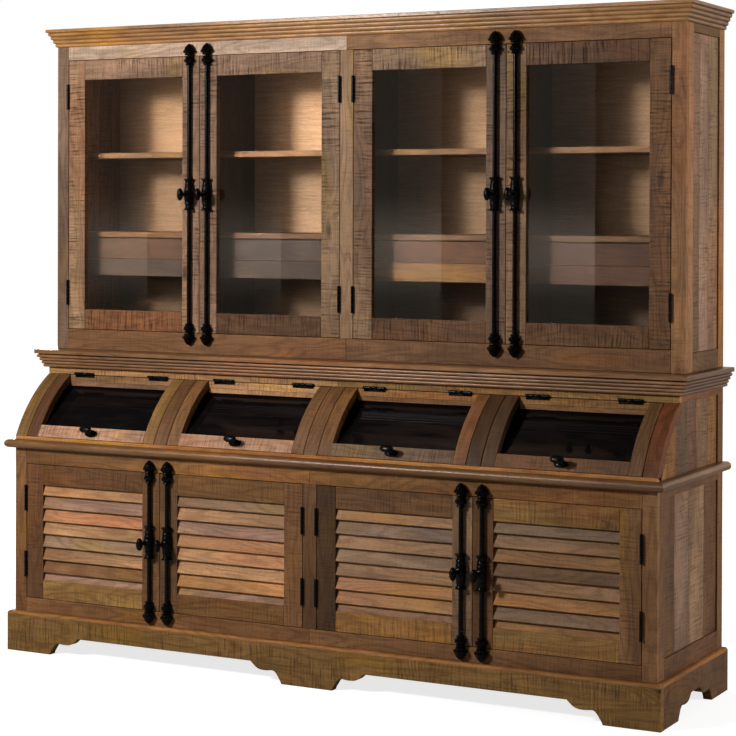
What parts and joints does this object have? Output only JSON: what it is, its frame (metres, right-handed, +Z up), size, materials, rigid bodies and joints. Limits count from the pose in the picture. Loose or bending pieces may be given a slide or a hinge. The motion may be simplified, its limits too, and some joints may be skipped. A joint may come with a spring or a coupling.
{
  "type": "buffet cabinet",
  "caption": "Tall buffet cabinet with a glazed hutch, curved lift-up glass flaps, louvred base doors with surface bolts, inner drawers and a scalloped plinth.",
  "frame": {"origin": "centre of the bounding box on the floor plane", "axes": "+X along the width, to the right as the front is seen, the front faces -Y, +Z up"},
  "size_m": [2.466, 0.6857, 2.2013],
  "materials": {
    "mango_wood": "waxed rough-sawn hardwood in warm mixed browns, satin to matte",
    "pale_plywood": "light tan plywood, matte",
    "black_iron": "black iron, satin",
    "clear_glass": "clear flat window glass",
    "dark_glass": "near-black bent glass, glossy"
  },
  "bodies": {
    "cabinet": {"crown_moulding": "mango_wood", "hutch_case": "mango_wood", "hutch_dividers": "mango_wood", "hutch_back": "pale_plywood", "waist_moulding": "mango_wood", "rolltop_case": "mango_wood", "counter_ledge": "mango_wood", "base_case": "mango_wood", "base_shelf_left": "mango_wood", "base_shelf_right": "mango_wood", "base_back": "mango_wood", "plinth": "mango_wood"},
    "base_door_1": {"base_door_1": "mango_wood"},
    "base_door_1_knob": {"base_door_1_knob": "black_iron"},
    "base_door_1_upper_rod": {"base_door_1_upper_rod": "black_iron"},
    "base_door_1_lower_rod": {"base_door_1_lower_rod": "black_iron"},
    "base_door_2": {"base_door_2": "mango_wood"},
    "base_door_2_knob": {"base_door_2_knob": "black_iron"},
    "base_door_2_upper_rod": {"base_door_2_upper_rod": "black_iron"},
    "base_door_2_lower_rod": {"base_door_2_lower_rod": "black_iron"},
    "base_door_3": {"base_door_3": "mango_wood"},
    "base_door_3_knob": {"base_door_3_knob": "black_iron"},
    "base_door_3_upper_rod": {"base_door_3_upper_rod": "black_iron"},
    "base_door_3_lower_rod": {"base_door_3_lower_rod": "black_iron"},
    "base_door_4": {"base_door_4": "mango_wood"},
    "base_door_4_knob": {"base_door_4_knob": "black_iron"},
    "base_door_4_upper_rod": {"base_door_4_upper_rod": "black_iron"},
    "base_door_4_lower_rod": {"base_door_4_lower_rod": "black_iron"},
    "hutch_door_1": {"hutch_door_1": "mango_wood", "hutch_door_1_glass": "clear_glass"},
    "hutch_door_1_knob": {"hutch_door_1_knob": "black_iron"},
    "hutch_door_1_upper_rod": {"hutch_door_1_upper_rod": "black_iron"},
    "hutch_door_1_lower_rod": {"hutch_door_1_lower_rod": "black_iron"},
    "hutch_door_2": {"hutch_door_2": "mango_wood", "hutch_door_2_glass": "clear_glass"},
    "hutch_door_2_knob": {"hutch_door_2_knob": "black_iron"},
    "hutch_door_2_upper_rod": {"hutch_door_2_upper_rod": "black_iron"},
    "hutch_door_2_lower_rod": {"hutch_door_2_lower_rod": "black_iron"},
    "hutch_door_3": {"hutch_door_3": "mango_wood", "hutch_door_3_glass": "clear_glass"},
    "hutch_door_3_knob": {"hutch_door_3_knob": "black_iron"},
    "hutch_door_3_upper_rod": {"hutch_door_3_upper_rod": "black_iron"},
    "hutch_door_3_lower_rod": {"hutch_door_3_lower_rod": "black_iron"},
    "hutch_door_4": {"hutch_door_4": "mango_wood", "hutch_door_4_glass": "clear_glass"},
    "hutch_door_4_knob": {"hutch_door_4_knob": "black_iron"},
    "hutch_door_4_upper_rod": {"hutch_door_4_upper_rod": "black_iron"},
    "hutch_door_4_lower_rod": {"hutch_door_4_lower_rod": "black_iron"},
    "flap_1": {"flap_1": "mango_wood", "flap_1_glass": "dark_glass"},
    "flap_2": {"flap_2": "mango_wood", "flap_2_glass": "dark_glass"},
    "flap_3": {"flap_3": "mango_wood", "flap_3_glass": "dark_glass"},
    "flap_4": {"flap_4": "mango_wood", "flap_4_glass": "dark_glass"},
    "inner_drawer_1": {"inner_drawer_1": "mango_wood"},
    "inner_drawer_2": {"inner_drawer_2": "mango_wood"},
    "inner_drawer_3": {"inner_drawer_3": "mango_wood"},
    "inner_drawer_4": {"inner_drawer_4": "mango_wood"}
  },
  "joints": [
    {"name": "base_door_1_hinge", "type": "hinge", "parent": "cabinet", "child": "base_door_1", "pos_m": [-1.146, -0.2695, 0.1888], "axis": [0, 0, -1], "range_deg": [0, 110]},
    {"name": "base_door_1_knob_turn", "type": "hinge", "parent": "base_door_1", "child": "base_door_1_knob", "pos_m": [-0.622, -0.274, 0.4228], "axis": [0, -1, 0], "range_deg": [0, 90]},
    {"name": "base_door_1_upper_rod_slide", "type": "slide", "parent": "base_door_1", "child": "base_door_1_upper_rod", "axis": [0, 0, 1], "range_m": [0, 0.014]},
    {"name": "base_door_1_lower_rod_slide", "type": "slide", "parent": "base_door_1", "child": "base_door_1_lower_rod", "axis": [0, 0, -1], "range_m": [0, 0.014]},
    {"name": "base_door_2_hinge", "type": "hinge", "parent": "cabinet", "child": "base_door_2", "pos_m": [-0.026, -0.2695, 0.1888], "axis": [0, 0, 1], "range_deg": [0, 84]},
    {"name": "base_door_2_knob_turn", "type": "hinge", "parent": "base_door_2", "child": "base_door_2_knob", "pos_m": [-0.55, -0.274, 0.4228], "axis": [0, -1, 0], "range_deg": [0, 90]},
    {"name": "base_door_2_upper_rod_slide", "type": "slide", "parent": "base_door_2", "child": "base_door_2_upper_rod", "axis": [0, 0, 1], "range_m": [0, 0.014]},
    {"name": "base_door_2_lower_rod_slide", "type": "slide", "parent": "base_door_2", "child": "base_door_2_lower_rod", "axis": [0, 0, -1], "range_m": [0, 0.014]},
    {"name": "base_door_3_hinge", "type": "hinge", "parent": "cabinet", "child": "base_door_3", "pos_m": [0.026, -0.2695, 0.1888], "axis": [0, 0, -1], "range_deg": [0, 84]},
    {"name": "base_door_3_knob_turn", "type": "hinge", "parent": "base_door_3", "child": "base_door_3_knob", "pos_m": [0.55, -0.274, 0.4228], "axis": [0, -1, 0], "range_deg": [0, 90]},
    {"name": "base_door_3_upper_rod_slide", "type": "slide", "parent": "base_door_3", "child": "base_door_3_upper_rod", "axis": [0, 0, 1], "range_m": [0, 0.014]},
    {"name": "base_door_3_lower_rod_slide", "type": "slide", "parent": "base_door_3", "child": "base_door_3_lower_rod", "axis": [0, 0, -1], "range_m": [0, 0.014]},
    {"name": "base_door_4_hinge", "type": "hinge", "parent": "cabinet", "child": "base_door_4", "pos_m": [1.146, -0.2695, 0.1888], "axis": [0, 0, 1], "range_deg": [0, 110]},
    {"name": "base_door_4_knob_turn", "type": "hinge", "parent": "base_door_4", "child": "base_door_4_knob", "pos_m": [0.622, -0.274, 0.4228], "axis": [0, -1, 0], "range_deg": [0, 90]},
    {"name": "base_door_4_upper_rod_slide", "type": "slide", "parent": "base_door_4", "child": "base_door_4_upper_rod", "axis": [0, 0, 1], "range_m": [0, 0.014]},
    {"name": "base_door_4_lower_rod_slide", "type": "slide", "parent": "base_door_4", "child": "base_door_4_lower_rod", "axis": [0, 0, -1], "range_m": [0, 0.014]},
    {"name": "hutch_door_1_hinge", "type": "hinge", "parent": "cabinet", "child": "hutch_door_1", "pos_m": [-1.146, -0.0275, 1.122], "axis": [0, 0, -1], "range_deg": [0, 110]},
    {"name": "hutch_door_1_knob_turn", "type": "hinge", "parent": "hutch_door_1", "child": "hutch_door_1_knob", "pos_m": [-0.622, -0.032, 1.60475], "axis": [0, -1, 0], "range_deg": [0, 90]},
    {"name": "hutch_door_1_upper_rod_slide", "type": "slide", "parent": "hutch_door_1", "child": "hutch_door_1_upper_rod", "axis": [0, 0, 1], "range_m": [0, 0.014]},
    {"name": "hutch_door_1_lower_rod_slide", "type": "slide", "parent": "hutch_door_1", "child": "hutch_door_1_lower_rod", "axis": [0, 0, -1], "range_m": [0, 0.014]},
    {"name": "hutch_door_2_hinge", "type": "hinge", "parent": "cabinet", "child": "hutch_door_2", "pos_m": [-0.026, -0.0275, 1.122], "axis": [0, 0, 1], "range_deg": [0, 84]},
    {"name": "hutch_door_2_knob_turn", "type": "hinge", "parent": "hutch_door_2", "child": "hutch_door_2_knob", "pos_m": [-0.55, -0.032, 1.60475], "axis": [0, -1, 0], "range_deg": [0, 90]},
    {"name": "hutch_door_2_upper_rod_slide", "type": "slide", "parent": "hutch_door_2", "child": "hutch_door_2_upper_rod", "axis": [0, 0, 1], "range_m": [0, 0.014]},
    {"name": "hutch_door_2_lower_rod_slide", "type": "slide", "parent": "hutch_door_2", "child": "hutch_door_2_lower_rod", "axis": [0, 0, -1], "range_m": [0, 0.014]},
    {"name": "hutch_door_3_hinge", "type": "hinge", "parent": "cabinet", "child": "hutch_door_3", "pos_m": [0.026, -0.0275, 1.122], "axis": [0, 0, -1], "range_deg": [0, 84]},
    {"name": "hutch_door_3_knob_turn", "type": "hinge", "parent": "hutch_door_3", "child": "hutch_door_3_knob", "pos_m": [0.55, -0.032, 1.60475], "axis": [0, -1, 0], "range_deg": [0, 90]},
    {"name": "hutch_door_3_upper_rod_slide", "type": "slide", "parent": "hutch_door_3", "child": "hutch_door_3_upper_rod", "axis": [0, 0, 1], "range_m": [0, 0.014]},
    {"name": "hutch_door_3_lower_rod_slide", "type": "slide", "parent": "hutch_door_3", "child": "hutch_door_3_lower_rod", "axis": [0, 0, -1], "range_m": [0, 0.014]},
    {"name": "hutch_door_4_hinge", "type": "hinge", "parent": "cabinet", "child": "hutch_door_4", "pos_m": [1.146, -0.0275, 1.122], "axis": [0, 0, 1], "range_deg": [0, 110]},
    {"name": "hutch_door_4_knob_turn", "type": "hinge", "parent": "hutch_door_4", "child": "hutch_door_4_knob", "pos_m": [0.622, -0.032, 1.60475], "axis": [0, -1, 0], "range_deg": [0, 90]},
    {"name": "hutch_door_4_upper_rod_slide", "type": "slide", "parent": "hutch_door_4", "child": "hutch_door_4_upper_rod", "axis": [0, 0, 1], "range_m": [0, 0.014]},
    {"name": "hutch_door_4_lower_rod_slide", "type": "slide", "parent": "hutch_door_4", "child": "hutch_door_4_lower_rod", "axis": [0, 0, -1], "range_m": [0, 0.014]},
    {"name": "flap_1_hinge", "type": "hinge", "parent": "cabinet", "child": "flap_1", "pos_m": [-0.879, -0.0765, 0.96458], "axis": [-1, 0, 0], "range_deg": [0, 65]},
    {"name": "flap_2_hinge", "type": "hinge", "parent": "cabinet", "child": "flap_2", "pos_m": [-0.293, -0.0765, 0.96458], "axis": [-1, 0, 0], "range_deg": [0, 65]},
    {"name": "flap_3_hinge", "type": "hinge", "parent": "cabinet", "child": "flap_3", "pos_m": [0.293, -0.0765, 0.96458], "axis": [-1, 0, 0], "range_deg": [0, 65]},
    {"name": "flap_4_hinge", "type": "hinge", "parent": "cabinet", "child": "flap_4", "pos_m": [0.879, -0.0765, 0.96458], "axis": [-1, 0, 0], "range_deg": [0, 65]},
    {"name": "inner_drawer_1_slide", "type": "slide", "parent": "cabinet", "child": "inner_drawer_1", "axis": [0, -1, 0], "range_m": [0, 0.055]},
    {"name": "inner_drawer_2_slide", "type": "slide", "parent": "cabinet", "child": "inner_drawer_2", "axis": [0, -1, 0], "range_m": [0, 0.055]},
    {"name": "inner_drawer_3_slide", "type": "slide", "parent": "cabinet", "child": "inner_drawer_3", "axis": [0, -1, 0], "range_m": [0, 0.055]},
    {"name": "inner_drawer_4_slide", "type": "slide", "parent": "cabinet", "child": "inner_drawer_4", "axis": [0, -1, 0], "range_m": [0, 0.055]}
  ],
  "couplings": [
    {"joint": "base_door_1_knob_turn", "follows": "base_door_1_upper_rod_slide", "rad_per_m": 112.1},
    {"joint": "base_door_1_lower_rod_slide", "follows": "base_door_1_upper_rod_slide", "ratio": 1},
    {"joint": "base_door_2_knob_turn", "follows": "base_door_2_upper_rod_slide", "rad_per_m": 112.1},
    {"joint": "base_door_2_lower_rod_slide", "follows": "base_door_2_upper_rod_slide", "ratio": 1},
    {"joint": "base_door_3_knob_turn", "follows": "base_door_3_upper_rod_slide", "rad_per_m": 112.1},
    {"joint": "base_door_3_lower_rod_slide", "follows": "base_door_3_upper_rod_slide", "ratio": 1},
    {"joint": "base_door_4_knob_turn", "follows": "base_door_4_upper_rod_slide", "rad_per_m": 112.1},
    {"joint": "base_door_4_lower_rod_slide", "follows": "base_door_4_upper_rod_slide", "ratio": 1},
    {"joint": "hutch_door_1_knob_turn", "follows": "hutch_door_1_upper_rod_slide", "rad_per_m": 112.1},
    {"joint": "hutch_door_1_lower_rod_slide", "follows": "hutch_door_1_upper_rod_slide", "ratio": 1},
    {"joint": "hutch_door_2_knob_turn", "follows": "hutch_door_2_upper_rod_slide", "rad_per_m": 112.1},
    {"joint": "hutch_door_2_lower_rod_slide", "follows": "hutch_door_2_upper_rod_slide", "ratio": 1},
    {"joint": "hutch_door_3_knob_turn", "follows": "hutch_door_3_upper_rod_slide", "rad_per_m": 112.1},
    {"joint": "hutch_door_3_lower_rod_slide", "follows": "hutch_door_3_upper_rod_slide", "ratio": 1},
    {"joint": "hutch_door_4_knob_turn", "follows": "hutch_door_4_upper_rod_slide", "rad_per_m": 112.1},
    {"joint": "hutch_door_4_lower_rod_slide", "follows": "hutch_door_4_upper_rod_slide", "ratio": 1}
  ]
}
